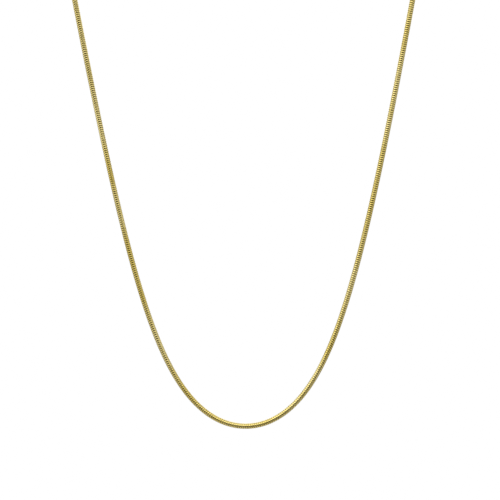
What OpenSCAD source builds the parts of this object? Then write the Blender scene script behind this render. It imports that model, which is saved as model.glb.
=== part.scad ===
// Round snake chain necklace, closed by a plain bolt ring clasp.
// The loop hangs in the XZ plane, with X to the right, Z up and Y from front to back.
// Lengths are in millimetres and angles in degrees.
// The origin lies on top of the round form that carries the upper arc, under the arc's middle.

/* [Chain] */
// Length of the fastened necklace along its middle line, clasp and rings included
necklace_length = 450; // [400:5:600]
// Outside diameter of the round snake chain
chain_d = 1.6; // [1.2:0.1:2.4]

/* [Hang] */
// Radius of the chain's bend at its lowest point
bend_r = 16.8; // [12:0.2:24]
// Angle off the vertical that the two sides straighten out to
side_lean = 9.6; // [6:0.2:14]

/* [End caps] */
// Wall of the cup that each end of the chain is cemented into
cap_wall = 0.35; // [0.25:0.05:0.6]
// Length of the cup, without its eye
cap_length = 4.6; // [3.5:0.1:7]
// Solid metal behind the chain's end, in the cup
cap_floor = 1.1; // [0.8:0.1:1.6]
// Width of the rolled lip round the cup's mouth
lip_width = 0.6; // [0.4:0.05:0.9]
// Height of that lip above the cup's wall
lip_height = 0.15; // [0.05:0.05:0.3]

/* [Eyes and rings] */
// Wire of the small eyes on the end caps and the clasp
eye_wire = 0.6; // [0.5:0.05:0.8]
// Free room in an eye, beside the ring that hangs in it
eye_play = 0.7; // [0.4:0.05:1.2]
// Wire of the two loose rings
ring_wire = 0.7; // [0.5:0.05:0.9]
// Free room in a loose ring, beside the two wires that it joins
ring_play = 0.6; // [0.4:0.05:1.6]

/* [Clasp] */
// Outside diameter of the bolt ring
clasp_d = 6; // [5.5:0.1:8]
// Thickness of its tube
clasp_tube = 1.3; // [1.1:0.05:1.4]
// Thickness of the bolt that closes the tube's gap
bolt_wire = 0.8; // [0.5:0.05:1]
// Share of the ring, as an angle, where the bare bolt shows
bolt_angle = 70; // [50:5:90]
// Angle from the bare bolt's end back to the thumb knob
knob_setback = 20; // [14:1:30]
// Height of the thumb knob above the tube
knob_height = 0.9; // [0.5:0.1:1.4]
// Thickness of the thumb knob
knob_d = 0.8; // [0.6:0.1:1.1]

/* [Fit] */
// Cement film between the chain and the cup round it
cement_film = 0.1; // [0.05:0.05:0.2]
// Gap left between two wires that hang in each other
link_gap = 0.1; // [0.08:0.01:0.15]
// Depth that an eye is sunk into the piece that carries it
eye_sink = 0.35; // [0.2:0.05:0.45]

/* [Hidden] */
gold = [0.83, 0.69, 0.36];
$fn = 48;

// The chain is drawn as a tube with this many flat sides.
tube_sides = 8;
// Tube sections in one half of the loop: round the bend, up the side and over the arc.
bend_sections = 13;
side_sections = 11;
arc_sections = 14;
// Length of the short steps that the side's curve is summed from.
sum_step = 1;

// The side of the loop. At s millimetres of chain from the lowest point, the chain has
// turned up from the horizontal by this angle, and the turning dies away up the side.
side_turn = 90 - side_lean;
fade_length = bend_r * side_turn * PI / 180;
function turn(s) = side_turn * s / sqrt(s * s + fade_length * fade_length);
function heading(angle) = [cos(angle), sin(angle)];

sum_count = ceil(necklace_length / 2 / sum_step);
side_line = [
    for (i = 0, p = [0, 0]; i <= sum_count;
         p = p + sum_step * heading(turn((i + 0.5) * sum_step)), i = i + 1) p
];
side_x = [for (i = [0:sum_count]) [i * sum_step, side_line[i].x]];
side_z = [for (i = [0:sum_count]) [i * sum_step, side_line[i].y]];

// The upper arc runs on from the side with the same heading, about a centre on the Z axis.
// It starts where half the loop comes to half the necklace's length.
function arc_radius(s) = lookup(s, side_x) / sin(turn(s));
function half_loop(s) = s + arc_radius(s) * (180 - turn(s)) * PI / 180;
half_loops = [for (i = [1:sum_count]) [half_loop(i * sum_step), i * sum_step]];
side_length = lookup(necklace_length / 2, half_loops);
arc_r = arc_radius(side_length);
arc_centre_z = chain_d / 2 - arc_r;
bottom_z = arc_centre_z - arc_r * cos(turn(side_length)) - lookup(side_length, side_z);

// Places on the upper arc are angles from its top, positive to the right.
function arc_point(a) = [arc_r * sin(a), arc_centre_z + arc_r * cos(a)];
function side_point(s) = [lookup(s, side_x), bottom_z + lookup(s, side_z)];
function chord_angle(length) = 2 * asin(length / (2 * arc_r));

// Sizes of the pieces at the clasp, from the middle of one hanging contact to the next.
cap_bore_d = chain_d + 2 * cement_film;
cap_d = cap_bore_d + 2 * cap_wall;
cap_chamfer = cap_wall;
cap_bore_depth = cap_length - cap_floor;
eye_bore = ring_wire + eye_play;
eye_d = eye_bore + 2 * eye_wire;
ring_bore = eye_wire + clasp_tube + ring_play;
ring_d = ring_bore + 2 * ring_wire;
eye_reach = (eye_bore - link_gap) / 2;
cap_eye_x = cap_length + eye_d / 2 - eye_sink;
cap_span = cap_eye_x + eye_reach;
ring_span = ring_bore - link_gap;
clasp_bore = clasp_d - 2 * clasp_tube;
clasp_eye_x = clasp_d / 2 + eye_d / 2 - eye_sink;
clasp_left = clasp_eye_x + eye_reach;
clasp_span = clasp_left + (clasp_bore - link_gap) / 2;

// Where each piece starts on the arc. The row is centred on the top.
spans = [cap_span, ring_span, clasp_span, ring_span, cap_span];
function spans_to(i) = i == 0 ? 0 : spans_to(i - 1) + chord_angle(spans[i - 1]);
mouth_angle = spans_to(len(spans)) / 2;
function start_angle(i) = spans_to(i) - mouth_angle;

// The chain's middle line, from its end in the left cap round to its end in the right cap.
cap_heading = mouth_angle - chord_angle(cap_span) / 2;
chain_end = arc_point(mouth_angle)
    + (cap_bore_depth - cement_film) * [-cos(cap_heading), sin(cap_heading)];
bend_reach = 2 * fade_length;
arc_start = 180 - turn(side_length);
half_route = concat(
    [for (i = [0:bend_sections - 1]) side_point(i * bend_reach / bend_sections)],
    [for (i = [0:side_sections - 1])
        side_point(bend_reach + i * (side_length - bend_reach) / side_sections)],
    [for (i = [0:arc_sections])
        arc_point(arc_start + i * (mouth_angle - arc_start) / arc_sections)],
    [chain_end]
);
function flip(p) = [-p.x, p.y];
half_count = len(half_route);
route = concat(
    [for (i = [1:half_count - 1]) flip(half_route[half_count - i])],
    half_route
);

// One closed tube swept along a flat route, each section square to the line there.
function along(i) =
    let (a = route[max(i - 1, 0)], b = route[min(i + 1, len(route) - 1)])
    (b - a) / norm(b - a);
function section(i) = [
    for (k = [0:tube_sides - 1])
        let (spin = k * 360 / tube_sides,
             reach = chain_d / 2 * cos(spin),
             t = along(i))
        [route[i].x - t.y * reach, chain_d / 2 * sin(spin), route[i].y + t.x * reach]
];

module chain() {
    sections = [for (i = [0:len(route) - 1]) section(i)];
    last = tube_sides * (len(route) - 1);
    points = [for (s = sections) each s];
    walls = [
        for (i = [0:len(route) - 2]) for (k = [0:tube_sides - 1])
            let (a = tube_sides * i + k, b = tube_sides * i + (k + 1) % tube_sides)
            each [[a, b, b + tube_sides], [a, b + tube_sides, a + tube_sides]]
    ];
    ends = [
        [for (k = [tube_sides - 1:-1:0]) k],
        [for (k = [0:tube_sides - 1]) last + k]
    ];
    color(gold) polyhedron(points, concat(walls, ends));
}

// A closed ring of round wire, flat in the XY plane.
module wire_ring(outside, wire) {
    rotate_extrude() translate([(outside - wire) / 2, 0]) circle(d = wire);
}

// Puts a piece that is drawn along +X on the chord from its own place in the row.
module on_arc(i) {
    start = arc_point(start_angle(i));
    heading = (start_angle(i) + start_angle(i + 1)) / 2;
    translate([start.x, 0, start.y]) rotate([0, heading, 0]) children();
}

// The cup with its lip and its eye, mouth at the origin and eye towards +X.
module end_cap() {
    color(gold) {
        rotate([0, 90, 0]) rotate_extrude() difference() {
            union() {
                polygon([
                    [0, 0], [cap_d / 2, 0], [cap_d / 2, cap_length - cap_chamfer],
                    [cap_d / 2 - cap_chamfer, cap_length], [0, cap_length]
                ]);
                square([cap_d / 2 + lip_height, lip_width]);
            }
            square([cap_bore_d / 2, cap_bore_depth]);
        }
        translate([cap_eye_x, 0, 0]) wire_ring(eye_d, eye_wire);
    }
}

module end_cap_left() {
    on_arc(0) end_cap();
}

module end_cap_right() {
    mirror([1, 0, 0]) on_arc(0) end_cap();
}

// A loose ring stands upright, so that it crosses the flat wires that it hangs in.
module loose_ring() {
    color(gold) translate([ring_span / 2, 0, 0]) rotate([90, 0, 0])
        wire_ring(ring_d, ring_wire);
}

module clasp_ring() {
    on_arc(1) loose_ring();
}

module end_ring() {
    on_arc(3) loose_ring();
}

// The bolt ring in one plain piece: tube, bolt, thumb knob and eye, flat against the neck.
module clasp() {
    tube_line_d = clasp_d - clasp_tube;
    bolt_start = 90 - bolt_angle / 2;
    knob_at = bolt_start + bolt_angle + knob_setback;
    color(gold) on_arc(2) translate([clasp_left, 0, 0]) {
        rotate([0, 0, bolt_start + bolt_angle])
            rotate_extrude(angle = 360 - bolt_angle)
                translate([tube_line_d / 2, 0]) circle(d = clasp_tube);
        wire_ring(tube_line_d + bolt_wire, bolt_wire);
        rotate([0, 0, knob_at]) translate([tube_line_d / 2, 0, 0]) rotate([0, 90, 0])
            cylinder(d = knob_d, h = clasp_tube / 2 + knob_height);
        translate([-clasp_eye_x, 0, 0]) wire_ring(eye_d, eye_wire);
    }
}

chain();
end_cap_left();
end_cap_right();
clasp_ring();
end_ring();
clasp();
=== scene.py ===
# %% [markdown]
# A gold snake chain, hung in a long loop.
# A round snake chain looks like a thick wire, but it is a tube of several hundred thin metal
# cups, each pushed a little way into the next. A chain like that has one job for each tool.
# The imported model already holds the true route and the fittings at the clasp, in metres, and
# Blender adds what the eye looks for: the cups, the gold and the light that it mirrors.

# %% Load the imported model
import math
import bpy
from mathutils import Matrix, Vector


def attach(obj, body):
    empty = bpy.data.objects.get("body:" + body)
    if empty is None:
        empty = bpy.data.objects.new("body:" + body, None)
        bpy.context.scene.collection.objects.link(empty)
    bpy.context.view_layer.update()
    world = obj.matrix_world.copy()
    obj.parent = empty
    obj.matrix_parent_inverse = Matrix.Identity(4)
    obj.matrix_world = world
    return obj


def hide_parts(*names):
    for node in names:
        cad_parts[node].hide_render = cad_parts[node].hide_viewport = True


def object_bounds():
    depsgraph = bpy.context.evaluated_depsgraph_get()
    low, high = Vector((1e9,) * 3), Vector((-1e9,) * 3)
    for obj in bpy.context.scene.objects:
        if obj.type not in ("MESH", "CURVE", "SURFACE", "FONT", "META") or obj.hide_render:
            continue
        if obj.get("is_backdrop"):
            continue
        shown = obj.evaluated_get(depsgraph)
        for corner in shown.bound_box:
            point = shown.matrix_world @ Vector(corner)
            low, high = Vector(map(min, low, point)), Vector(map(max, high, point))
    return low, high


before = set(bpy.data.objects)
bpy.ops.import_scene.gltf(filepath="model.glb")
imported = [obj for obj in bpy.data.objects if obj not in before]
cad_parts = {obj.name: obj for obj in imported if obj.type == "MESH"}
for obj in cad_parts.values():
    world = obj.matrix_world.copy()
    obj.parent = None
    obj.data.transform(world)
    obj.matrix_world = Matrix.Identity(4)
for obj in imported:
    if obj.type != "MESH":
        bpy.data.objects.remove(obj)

cad_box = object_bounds()
MM = 0.001


def print_box(what, box):
    low, high = ([round(v / MM, 2) for v in corner] for corner in box)
    print(f"{what} from {low} to {high} mm")


print_box("packed model", cad_box)

# %% [markdown]
# The route comes first, because every link is placed by it.
# Tracing the chain by hand would take dozens of points and still wobble. This one follows a
# rule instead. From the lowest point the chain turns up quickly, then less and less, and
# runs out nearly straight. One formula gives its direction at every millimetre, and adding
# up short steps in that direction gives the curve. Half is enough, as the other half mirrors it.

# %% Sizes that the route is made from
CHAIN_D = 1.6 * MM
BEND_RADIUS = 16.8 * MM
SIDE_LEAN = math.radians(9.6)
NECKLACE_LENGTH = 450 * MM
STEP = 0.25 * MM

steepest = math.pi / 2 - SIDE_LEAN
fade_length = BEND_RADIUS * steepest


def climb(s):
    """Angle above the horizontal, at s metres of chain from the lowest point."""
    return steepest * s / math.hypot(s, fade_length)


def half_loop(x, s):
    """Half the loop's length, if the round upper arc took over at x, s metres along."""
    return s + x / math.sin(climb(s)) * (math.pi - climb(s))


def side_curve():
    """The right side from the lowest point up, to where the upper arc takes over."""
    x = z = s = 0.0
    points = [(x, z)]
    while s < STEP or half_loop(x, s) < NECKLACE_LENGTH / 2:
        middle = climb(s + STEP / 2)
        x += STEP * math.cos(middle)
        z += STEP * math.sin(middle)
        s += STEP
        points.append((x, z))
    return points, s


side, side_length = side_curve()
arc_radius = side[-1][0] / math.sin(climb(side_length))
arc_centre_z = CHAIN_D / 2 - arc_radius
bottom_z = arc_centre_z - arc_radius * math.cos(climb(side_length)) - side[-1][1]
print(f"side {side_length / MM:.1f} mm long, upper arc {arc_radius / MM:.2f} mm in radius")

# %% [markdown]
# The chain ends inside two small cups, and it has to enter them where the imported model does.
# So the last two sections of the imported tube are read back: eight corners each, and their
# middle is a point on the route. From there the whole route is a list of points, from the
# left cup down round the bend and up into the right cup.

# %% Join the side, the upper arc and the straight ends
TUBE_CORNERS = 8
MERGE_DIGITS = 7
END_ROOM = 0.3 * MM


def tube_sections(mesh, count):
    """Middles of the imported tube's last sections on the right, the end first."""
    upper_right = [v.co for v in mesh.vertices if v.co.x > 0 and v.co.z > arc_centre_z]
    corners = sorted({tuple(round(c, MERGE_DIGITS) for c in place) for place in upper_right})
    groups = [corners[TUBE_CORNERS * i:TUBE_CORNERS * (i + 1)] for i in range(count)]
    return [sum((Vector(c) for c in g), Vector()) / TUBE_CORNERS for g in groups]


tube_end, mouth = tube_sections(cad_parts["chain"].data, 2)
mouth_angle = math.atan2(mouth.x, mouth.z - arc_centre_z)
arc_start = math.pi - climb(side_length)
arc_steps = round(arc_radius * (arc_start - mouth_angle) / STEP)
arc = [arc_start + (mouth_angle - arc_start) * i / arc_steps for i in range(1, arc_steps + 1)]
last = tube_end + (mouth - tube_end).normalized() * END_ROOM

half_route = [(x, bottom_z + z) for x, z in side]
half_route += [(arc_radius * math.sin(a), arc_centre_z + arc_radius * math.cos(a)) for a in arc]
half_route.append((last.x, last.z))
left_half = [Vector((-x, 0, z)) for x, z in reversed(half_route[1:])]
right_half = [Vector((x, 0, z)) for x, z in half_route]
route = left_half + right_half
route_length = sum((b - a).length for a, b in zip(route, route[1:]))
print(f"route of {len(route)} points, {route_length / MM:.1f} mm")
print(f"the cups' mouths lie {math.degrees(mouth_angle):.2f} degrees from the top")

# %% [markdown]
# One link next. It is a short ring of sheet metal with a rounded wall outside and a narrower
# neck in front, and the neck sits inside the ring ahead, which is what holds a snake chain
# together. Its rim isn't flat: it waves twice around, so that neighbours nest like saddles
# and the chain can bend every way. The groove between neighbours is deep on the two open
# sides and nearly closes on the two sides between them, so a smooth line runs along the
# closed sides while the open ones show every rib. A link is repeated over seven hundred
# times, so it has only 72 faces, and a vertex attribute remembers which parts lie in the
# groove.

# %% Shape one link
LINK_PITCH = 0.6 * MM
LINK_SIDES = 12
CLOSED_SIDE_LESS_SHADE = 0.5
CLOSED_SIDE_POWER = 3
# Each row is one edge round the link. First comes its radius on the open sides and on the
# closed sides, as shares of the chain's, then its place along the chain on both, as shares of
# the pitch, then its wave in the same shares, and last how deep it lies in the groove, which
# sets how much painted shade and roughness it gets. A higher CLOSED_SIDE_POWER makes the closed
# sides narrower, and the share taken off the depth on the closed sides paints less shade there,
# so they stay brighter.
LINK_PROFILE = [
    (0.930, 0.980, -0.40, -0.46, 0.15, 0.7),
    (1.000, 1.000, -0.15, -0.23, 0.18, 0.0),
    (1.000, 1.000, 0.15, 0.23, 0.18, 0.0),
    (0.925, 0.980, 0.40, 0.46, 0.21, 0.6),
    (0.740, 0.740, 0.78, 0.78, 0.21, 1.0),
    (0.860, 0.860, -0.38, -0.44, 0.15, 1.0),
]


def closedness(angle):
    """One in the middle of the closed sides, and nought in the middle of the open ones."""
    return ((1 - math.cos(2 * angle)) / 2) ** CLOSED_SIDE_POWER


def link_mesh():
    mesh = bpy.data.meshes.new("snake_link")
    rings = len(LINK_PROFILE)
    points, depths, faces = [], [], []
    for open_radius, closed_radius, open_along, closed_along, wave, depth in LINK_PROFILE:
        for i in range(LINK_SIDES):
            a = 2 * math.pi * i / LINK_SIDES
            closed = closedness(a)
            r = (open_radius + (closed_radius - open_radius) * closed) * CHAIN_D / 2
            along = open_along + (closed_along - open_along) * closed
            lift = (along - wave * math.cos(2 * a)) * LINK_PITCH
            points.append((r * math.cos(a), r * math.sin(a), lift))
            # Groove depth for the painted shade and the roughness, less on the closed sides.
            depths.append(depth * (1 - CLOSED_SIDE_LESS_SHADE * closed))
    for k in range(rings):
        here, ahead = k * LINK_SIDES, (k + 1) % rings * LINK_SIDES
        for i in range(LINK_SIDES):
            j = (i + 1) % LINK_SIDES
            faces.append((here + i, here + j, ahead + j, ahead + i))
    mesh.from_pydata(points, [], faces)
    mesh.attributes.new("groove", "FLOAT", "POINT").data.foreach_set("value", depths)
    mesh.shade_smooth()
    mesh.validate()
    return mesh


link = bpy.data.objects.new("snake_link", link_mesh())
print("one link:", len(link.data.polygons), "faces")

# %% [markdown]
# Now the links are strung. A loop in Python could copy the mesh seven hundred times, but
# Geometry Nodes say the same thing once: take the route, cut it into equal steps, put a link
# on every step and point it along the route. The sizes are inputs of the tree, so the chain
# can be restrung with coarser or finer links in a moment. The inputs come first.

# %% Name the inputs of the stringing tree
def tree_input(tree, name, kind, default=None):
    socket = tree.interface.new_socket(name=name, in_out="INPUT", socket_type=kind)
    if default is not None:
        socket.default_value = default


stringing = bpy.data.node_groups.new("String links on a route", "GeometryNodeTree")
tree_input(stringing, "Route", "NodeSocketGeometry")
tree_input(stringing, "Link", "NodeSocketObject")
tree_input(stringing, "Link Count", "NodeSocketInt", 2)
tree_input(stringing, "Turn Play", "NodeSocketFloat", 0.0)
tree_input(stringing, "Tilt Play", "NodeSocketFloat", 0.0)
tree_input(stringing, "Seed", "NodeSocketInt", 1)
tree_input(stringing, "Gold", "NodeSocketMaterial")
stringing.interface.new_socket(name="Chain", in_out="OUTPUT", socket_type="NodeSocketGeometry")
print("stringing tree:", ", ".join(socket.name for socket in stringing.interface.items_tree))

# %% [markdown]
# Each link is turned in two steps. First it is laid along the route. The route stays in one
# upright plane, so the angle of its tangent in that plane is all that this takes. Then the
# link is turned about the route: by the chain's twist, which the tree reads from an attribute
# called turn on the route's points, and by a small random turn and tilt of its own.

# %% Turn each link
def add(tree, kind, place, **settings):
    """A new node at that place in the editor, with its settings."""
    node = tree.nodes.new(kind)
    node.location = place
    for key, value in settings.items():
        setattr(node, key, value)
    return node


def along_route(tree):
    """The rotation that lays a link along the route."""
    tangent = add(tree, "GeometryNodeInputTangent", (-1200, -300))
    parts = add(tree, "ShaderNodeSeparateXYZ", (-1000, -300))
    heading = add(tree, "ShaderNodeMath", (-800, -300), operation="ARCTAN2")
    facing = add(tree, "ShaderNodeCombineXYZ", (-600, -300))
    tree.links.new(tangent.outputs["Tangent"], parts.inputs["Vector"])
    tree.links.new(parts.outputs["X"], heading.inputs[0])
    tree.links.new(parts.outputs["Z"], heading.inputs[1])
    tree.links.new(heading.outputs[0], facing.inputs["Y"])
    return facing.outputs["Vector"]


def twist_and_play(tree, given):
    """The chain's twist at a link, with the link's own small turn and tilt added."""
    twist = add(tree, "GeometryNodeInputNamedAttribute", (-600, -500), data_type="FLOAT")
    about_route = add(tree, "ShaderNodeCombineXYZ", (-400, -500))
    high = add(tree, "ShaderNodeCombineXYZ", (-1000, -700))
    low = add(tree, "ShaderNodeVectorMath", (-800, -800), operation="SCALE")
    play = add(tree, "FunctionNodeRandomValue", (-600, -700), data_type="FLOAT_VECTOR")
    both = add(tree, "ShaderNodeVectorMath", (-200, -500), operation="ADD")
    twist.inputs["Name"].default_value = "turn"
    low.inputs["Scale"].default_value = -1
    tree.links.new(twist.outputs["Attribute"], about_route.inputs["Z"])
    for axis in "XY":
        tree.links.new(given.outputs["Tilt Play"], high.inputs[axis])
    tree.links.new(given.outputs["Turn Play"], high.inputs["Z"])
    tree.links.new(high.outputs["Vector"], low.inputs[0])
    tree.links.new(low.outputs["Vector"], play.inputs["Min"])
    tree.links.new(high.outputs["Vector"], play.inputs["Max"])
    tree.links.new(given.outputs["Seed"], play.inputs["Seed"])
    tree.links.new(about_route.outputs["Vector"], both.inputs[0])
    tree.links.new(play.outputs["Value"], both.inputs[1])
    return both.outputs["Vector"]


given = add(stringing, "NodeGroupInput", (-1200, 0))
direction = along_route(stringing)
own_turn = twist_and_play(stringing, given)
print("nodes that turn a link:", len(stringing.nodes) - 1)

# %% [markdown]
# The rest of the tree is one line of nodes, read from left to right: the route as a curve,
# equal steps, a link on each, the turns, and the gold. Its links are only instances until the
# last step but one makes them real, because an export would lose them otherwise.

# %% Lay the links on the route
def lay_links(tree, given, direction, own_turn):
    to_curve = add(tree, "GeometryNodeMeshToCurve", (-1000, 200))
    steps = add(tree, "GeometryNodeResampleCurve", (-800, 200), mode="COUNT")
    shape = add(tree, "GeometryNodeObjectInfo", (-800, -100))
    place = add(tree, "GeometryNodeInstanceOnPoints", (-400, 200))
    turned = add(tree, "GeometryNodeRotateInstances", (0, 200))
    real = add(tree, "GeometryNodeRealizeInstances", (200, 200))
    finish = add(tree, "GeometryNodeSetMaterial", (400, 200))
    out = add(tree, "NodeGroupOutput", (600, 200))
    tree.links.new(given.outputs["Route"], to_curve.inputs["Mesh"])
    tree.links.new(to_curve.outputs["Curve"], steps.inputs["Curve"])
    tree.links.new(given.outputs["Link Count"], steps.inputs["Count"])
    tree.links.new(given.outputs["Link"], shape.inputs["Object"])
    tree.links.new(steps.outputs["Curve"], place.inputs["Points"])
    tree.links.new(shape.outputs["Geometry"], place.inputs["Instance"])
    tree.links.new(direction, place.inputs["Rotation"])
    tree.links.new(place.outputs["Instances"], turned.inputs["Instances"])
    tree.links.new(own_turn, turned.inputs["Rotation"])
    tree.links.new(turned.outputs["Instances"], real.inputs["Geometry"])
    tree.links.new(real.outputs["Geometry"], finish.inputs["Geometry"])
    tree.links.new(given.outputs["Gold"], finish.inputs["Material"])
    tree.links.new(finish.outputs["Geometry"], out.inputs["Chain"])


lay_links(stringing, given, direction, own_turn)
print("nodes in the whole tree:", len(stringing.nodes))

# %% [markdown]
# Gold plate is almost all reflection, so its colour lives in how it tints what it mirrors.
# Real plate is never even: the crowns of the links are rubbed bright and smooth, the grooves
# stay dull, and fine scratches break up the gloss. The tone also drifts a little, in clouds
# about as long as a finger is wide. Noise makes all of these patterns. It is laid out in object
# coordinates, which are metres here, so a pattern's scale is about how many of its spots fit in
# a metre. The grooves are also painted brown, as painted shade where neighbouring links shade
# each other.

# %% Noise for the patterns
RUBBED_PER_METRE = 1600
SCRATCHES_PER_METRE = 7000
NOISE_ROUGHNESS = 0.55


def noise(tree, where, place, per_metre, detail=3.0):
    node = add(tree, "ShaderNodeTexNoise", place)
    node.inputs["Scale"].default_value = per_metre
    node.inputs["Detail"].default_value = detail
    node.inputs["Roughness"].default_value = NOISE_ROUGHNESS
    tree.links.new(where, node.inputs["Vector"])
    return node.outputs["Fac"]


def between(tree, value, place, given_range, wanted_range):
    """Maps a value from one range to another."""
    node = add(tree, "ShaderNodeMapRange", place)
    names = ("From Min", "From Max", "To Min", "To Max")
    for name, number in zip(names, (*given_range, *wanted_range)):
        node.inputs[name].default_value = number
    tree.links.new(value, node.inputs["Value"])
    return node.outputs["Result"]


print(f"a rubbed spot about every {1 / RUBBED_PER_METRE / MM:.2f} mm")
print(f"a scratch about every {1 / SCRATCHES_PER_METRE / MM:.2f} mm")

# %% [markdown]
# Each property of the plate gets a function of its own, which returns the socket to join to
# the shader. The groove attribute that was written on the link says where it lies deep. There
# the colour goes to brown, as painted shade, and the surface is rougher.

# %% Colour, gloss and scratches
# The first colour below is painted shade: a brown laid into the grooves, where neighbouring links
# shade each other.
GROOVE_PAINTED_SHADE = (0.38, 0.28, 0.06)
GROOVE_DULLING = 0.25
CLOUD_RANGE = (0.38, 0.62)
RUBBED_RANGE = (0.3, 0.7)
SCRATCH_DEPTH = 0.01 * MM


def plate_colour(tree, where, groove, bright, deep, clouds_per_metre):
    """Gold that drifts between two tones, with painted shade, a brown, in the grooves."""
    clouds = noise(tree, where, (-1200, 200), clouds_per_metre)
    share = between(tree, clouds, (-950, 200), CLOUD_RANGE, (0, 1))
    tone = add(tree, "ShaderNodeMix", (-700, 200), data_type="RGBA")
    tone.inputs["A"].default_value = (*bright, 1)
    tone.inputs["B"].default_value = (*deep, 1)
    # Painted shade: the deeper a point lies in the groove, the more its gold is mixed towards
    # brown.
    groove_shaded = add(tree, "ShaderNodeMix", (-400, 200), data_type="RGBA")
    groove_shaded.inputs["B"].default_value = (*GROOVE_PAINTED_SHADE, 1)
    tree.links.new(share, tone.inputs["Factor"])
    tree.links.new(groove, groove_shaded.inputs["Factor"])
    tree.links.new(tone.outputs["Result"], groove_shaded.inputs["A"])
    return groove_shaded.outputs["Result"]


def plate_roughness(tree, where, groove, smooth, dull):
    """Roughness that varies with the rubbing, and is higher in the grooves."""
    rubbed = noise(tree, where, (-1200, -100), RUBBED_PER_METRE)
    total = add(tree, "ShaderNodeMath", (-700, -200), operation="ADD")
    crowns = between(tree, rubbed, (-950, -100), RUBBED_RANGE, (smooth, dull))
    grooves = between(tree, groove, (-950, -400), (0, 1), (0, GROOVE_DULLING))
    tree.links.new(crowns, total.inputs[0])
    tree.links.new(grooves, total.inputs[1])
    return total.outputs[0]


def plate_scratches(tree, where, strength):
    """Fine scratches, as a bump on the surface."""
    fine = noise(tree, where, (-1200, -700), SCRATCHES_PER_METRE, detail=2.0)
    bump = add(tree, "ShaderNodeBump", (-400, -500))
    bump.inputs["Strength"].default_value = strength
    bump.inputs["Distance"].default_value = SCRATCH_DEPTH
    tree.links.new(fine, bump.inputs["Height"])
    return bump.outputs["Normal"]


print(f"the deepest grooves add {GROOVE_DULLING} to the roughness")

# %% [markdown]
# The same shader serves the chain and its fittings, which are polished smoother. The fittings
# have no groove attribute. A missing attribute reads as nought, so they get no painted shade at
# all.
# On top lies a thin clear lacquer, which mirrors without tint, so the strongest lights and
# the rims come out a little whiter than the gold.

# %% Gold plate
LACQUER = 0.5
LACQUER_ROUGHNESS = 0.05
SCRATCH_STRENGTH = 0.3


def gold_plate(name, bright, deep, clouds_per_metre, smooth, dull):
    gold = bpy.data.materials.new(name)
    gold.use_nodes = True
    tree = gold.node_tree
    shader = tree.nodes["Principled BSDF"]
    where = add(tree, "ShaderNodeTexCoord", (-1400, 0)).outputs["Object"]
    groove = add(tree, "ShaderNodeAttribute", (-1400, -400), attribute_name="groove").outputs["Fac"]
    colour = plate_colour(tree, where, groove, bright, deep, clouds_per_metre)
    roughness = plate_roughness(tree, where, groove, smooth, dull)
    scratches = plate_scratches(tree, where, SCRATCH_STRENGTH)
    tree.links.new(colour, shader.inputs["Base Color"])
    tree.links.new(roughness, shader.inputs["Roughness"])
    tree.links.new(scratches, shader.inputs["Normal"])
    shader.inputs["Metallic"].default_value = 1.0
    shader.inputs["Coat Weight"].default_value = LACQUER
    shader.inputs["Coat Roughness"].default_value = LACQUER_ROUGHNESS
    return gold


chain_gold = gold_plate(
    "plated_chain", bright=(0.96, 0.81, 0.33), deep=(0.84, 0.66, 0.16),
    clouds_per_metre=50, smooth=0.18, dull=0.32)
fittings_gold = gold_plate(
    "plated_fittings", bright=(0.96, 0.80, 0.34), deep=(0.86, 0.68, 0.20),
    clouds_per_metre=90, smooth=0.08, dull=0.22)
print("finishes:", chain_gold.name, fittings_gold.name)

# %% [markdown]
# A hanging chain is never free of twist. Here the smooth line of the closed sides faces the
# camera on the lower left and through the bend, turned up a little towards the light, and the
# open ribs come to the front higher up on either side. That also makes some stretches a little
# darker than others, as on the real chain. A formula would do, but a short table of round
# angles, chosen and set beside the photograph, is easier to handle. Blender carries the turn on
# each point of the route as an attribute, and resampling the curve blends it from point to
# point.

# %% Twist the route
# Each row is a distance along the chain from its lowest point, in millimetres, and a turn in
# degrees. At no turn the closed sides face the camera and the back. Past the first and the
# last row the turn stays as it is there.
TWIST = [
    (-120, 90),
    (-80, -30),
    (20, -30),
    (50, -90),
]


def turn_of_links(distance):
    """Turn about the route, in radians, at that many millimetres from the lowest point."""
    if distance <= TWIST[0][0]:
        return math.radians(TWIST[0][1])
    for (start, low), (end, high) in zip(TWIST, TWIST[1:]):
        if distance <= end:
            return math.radians(low + (high - low) * (distance - start) / (end - start))
    return math.radians(TWIST[-1][1])


distances = [0.0]
for a, b in zip(route, route[1:]):
    distances.append(distances[-1] + (b - a).length)
turns = [turn_of_links((d - route_length / 2) / MM) for d in distances]

route_mesh = bpy.data.meshes.new("chain_route")
route_mesh.from_pydata(route, [(i, i + 1) for i in range(len(route) - 1)], [])
route_mesh.attributes.new("turn", "FLOAT", "POINT").data.foreach_set("value", turns)
route_piece = bpy.data.objects.new("chain_route", route_mesh)
bpy.context.scene.collection.objects.link(route_piece)
print(f"turns from {math.degrees(min(turns)):.0f} to {math.degrees(max(turns)):.0f} degrees")

# %% [markdown]
# With the link, the tree and the gold in hand, the chain is one modifier on the route. The
# result is then written out as a plain mesh, because an exported model knows nothing of
# modifiers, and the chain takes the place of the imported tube.

# %% String the chain
TURN_PLAY = math.radians(3)
TILT_PLAY = math.radians(1.2)
PLAY_SEED = 7


def make_plain(source, name):
    """The evaluated object as a plain mesh object of its own."""
    graph = bpy.context.evaluated_depsgraph_get()
    mesh = bpy.data.meshes.new_from_object(source.evaluated_get(graph))
    mesh.name = name
    plain = bpy.data.objects.new(name, mesh)
    bpy.context.scene.collection.objects.link(plain)
    return plain


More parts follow.
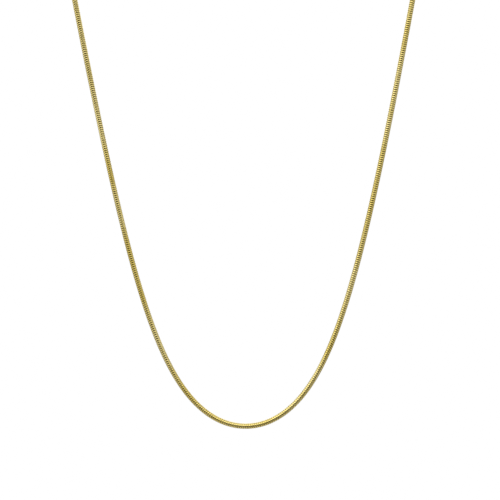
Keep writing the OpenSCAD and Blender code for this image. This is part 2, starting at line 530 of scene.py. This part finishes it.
link_count = round(route_length / LINK_PITCH) + 1
settings = {
    "Link": link,
    "Link Count": link_count,
    "Turn Play": TURN_PLAY,
    "Tilt Play": TILT_PLAY,
    "Seed": PLAY_SEED,
    "Gold": chain_gold,
}
link.data.materials.append(chain_gold)
modifier = route_piece.modifiers.new("String links", "NODES")
modifier.node_group = stringing
for socket in stringing.interface.items_tree:
    if socket.name in settings:
        modifier[socket.identifier] = settings[socket.name]

snake_chain = make_plain(route_piece, "snake_chain")
bpy.data.objects.remove(route_piece)
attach(snake_chain, "root")
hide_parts("chain")
print(f"snake chain: {link_count} links, {len(snake_chain.data.polygons)} faces")

# %% [markdown]
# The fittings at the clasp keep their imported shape. They are polished smoother than the
# chain, so they get a gold of their own.

# %% Polish the fittings
for name in ("end_cap_left", "end_cap_right", "clasp_ring", "end_ring", "clasp"):
    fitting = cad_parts[name]
    fitting.data.materials.clear()
    fitting.data.materials.append(fittings_gold)
    print(name, len(fitting.data.polygons), "faces")

# %% [markdown]
# Metal shows its surroundings, so lighting a chain means building what it mirrors. A long
# strip above the camera, a little to its left, draws the bright line along the bend, and a
# second strip behind the chain lights the upper rims. A tall panel on each side opens the
# flanks, the left one the brighter. How bright a lamp looks in the mirror is its power over its
# area, so each lamp is given its brightness and its size, and the watts follow. Large and dim
# lamps are kinder to small round metal than small and strong ones, which would burn white gaps
# into it.

# %% Soft lamps
LAMP_DISTANCE = 0.6
AIM_ABOVE_BEND = 30 * MM

aim = Vector((0, 0, bottom_z + AIM_ABOVE_BEND))


def soft_lamp(name, azimuth, elevation, width, height, brightness):
    """A soft lamp in that direction. Azimuth 0 is towards the camera and 90 to its right."""
    around, up = math.radians(azimuth), math.radians(elevation)
    flat = math.cos(up)
    way = Vector((math.sin(around) * flat, -math.cos(around) * flat, math.sin(up)))
    data = bpy.data.lights.new(name, "AREA")
    data.shape = "RECTANGLE"
    data.size, data.size_y = width, height
    data.energy = brightness * math.pi * width * height
    lamp = bpy.data.objects.new(name, data)
    lamp.location = aim + way * LAMP_DISTANCE
    lamp.rotation_euler = (-way).to_track_quat("-Z", "Y").to_euler()
    lamp.visible_camera = False
    bpy.context.scene.collection.objects.link(lamp)
    print(f"{name}: {data.energy:.2f} W")


soft_lamp("strip_above_camera", azimuth=-12, elevation=46, width=1.2, height=0.42, brightness=1.42)
soft_lamp("strip_behind", azimuth=180, elevation=40, width=0.9, height=0.60, brightness=1.05)
soft_lamp("left_panel", azimuth=-72, elevation=5, width=0.35, height=0.60, brightness=0.65)
soft_lamp("right_panel", azimuth=68, elevation=0, width=0.35, height=0.50, brightness=0.35)

# %% [markdown]
# Bright lights alone make metal look like yellow paint. It also needs something dark to
# mirror, and here that is a dark spot in the room, a little below the camera, which draws the
# dark line along the chain. The shader finds it by the dot product of each direction with the
# spot's: one in the middle of it, less the further round. The camera itself sees a pure white
# page. Then the denoiser is switched off. It is made to smooth away anything as fine as one
# pixel, and from here that would be the ribs of the chain.

# %% The room, the dark spot and the white page
ROOM = 0.47
DARK_SPOT = 0.02
DARK_SPOT_BELOW = math.radians(15)
# The dot products where the spot begins and where it is as dark as it gets.
DARK_SPOT_RANGE = (0.5, 0.98)
WHITE = (1, 1, 1, 1)

world = bpy.data.worlds.new("studio")
bpy.context.scene.world = world
world.use_nodes = True
tree = world.node_tree
page = tree.nodes["Background"]
page.inputs["Color"].default_value = WHITE
way = add(tree, "ShaderNodeTexCoord", (-800, -200)).outputs["Generated"]
facing = add(tree, "ShaderNodeVectorMath", (-600, -200), operation="DOT_PRODUCT")
facing.inputs[1].default_value = (0, -math.cos(DARK_SPOT_BELOW), -math.sin(DARK_SPOT_BELOW))
tree.links.new(way, facing.inputs[0])
glow = between(tree, facing.outputs["Value"], (-300, -200), DARK_SPOT_RANGE, (ROOM, DARK_SPOT))
room = add(tree, "ShaderNodeBackground", (0, -200))
room.inputs["Color"].default_value = WHITE
tree.links.new(glow, room.inputs["Strength"])
ray = add(tree, "ShaderNodeLightPath", (-200, 300))
pick = add(tree, "ShaderNodeMixShader", (250, 0))
tree.links.new(ray.outputs["Is Camera Ray"], pick.inputs[0])
tree.links.new(room.outputs[0], pick.inputs[1])
tree.links.new(page.outputs[0], pick.inputs[2])
tree.links.new(pick.outputs[0], tree.nodes["World Output"].inputs["Surface"])
bpy.context.scene.view_settings.view_transform = "Standard"
bpy.context.scene.cycles.use_denoising = False
print(f"room {ROOM}, down to {DARK_SPOT} in the dark spot")

# %% [markdown]
# A plain pale floor lies well below the chain, and its light fills the lower rims.

# %% Floor
FLOOR_Z = -0.60
FLOOR_RADIUS = 0.45
FLOOR_SIDES = 96
FLOOR_GREY = (0.8, 0.8, 0.8, 1)
FLOOR_ROUGHNESS = 0.8

bpy.ops.mesh.primitive_circle_add(
    vertices=FLOOR_SIDES, radius=FLOOR_RADIUS, fill_type="NGON", location=(0, 0, FLOOR_Z))
floor = bpy.context.object
floor.name = "floor"
pale = bpy.data.materials.new("pale_floor")
pale.use_nodes = True
pale.node_tree.nodes["Principled BSDF"].inputs["Base Color"].default_value = FLOOR_GREY
pale.node_tree.nodes["Principled BSDF"].inputs["Roughness"].default_value = FLOOR_ROUGHNESS
floor.data.materials.append(pale)
floor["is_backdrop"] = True
print(f"floor {bottom_z - FLOOR_Z:.2f} m below the chain")

# %% [markdown]
# The camera looks straight at the hanging plane, from 0.4 m away, so that even the chain's
# sides are seen almost straight on. It is rolled by a little over a quarter of a degree, as in
# the photograph. How far away it stands follows from how much of the chain one pixel holds.

# %% Camera
PIXEL = 0.2862 * MM
PICTURE = 500
ROLL = math.radians(0.284)
LENS = 100
VIEW_RIGHT = 1.42 * MM
VIEW_ABOVE_BEND = 50.42 * MM
NEAREST_SEEN = 0.01

view_centre = Vector((VIEW_RIGHT, 0, bottom_z + VIEW_ABOVE_BEND))
camera_data = bpy.data.cameras.new("camera")
camera_data.lens = LENS
camera_data.clip_start = NEAREST_SEEN
camera = bpy.data.objects.new("camera", camera_data)
distance = PIXEL * PICTURE * LENS / camera_data.sensor_width
camera.location = view_centre + Vector((0, -distance, 0))
camera.rotation_euler = (math.pi / 2, ROLL, 0)
bpy.context.scene.collection.objects.link(camera)
bpy.context.scene.camera = camera
print(f"camera {distance:.3f} m in front")

# %% [markdown]
# Last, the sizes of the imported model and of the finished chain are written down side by
# side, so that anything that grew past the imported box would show.

# %% Compare the sizes and finish
finished_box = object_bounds()
print_box("finished model", finished_box)
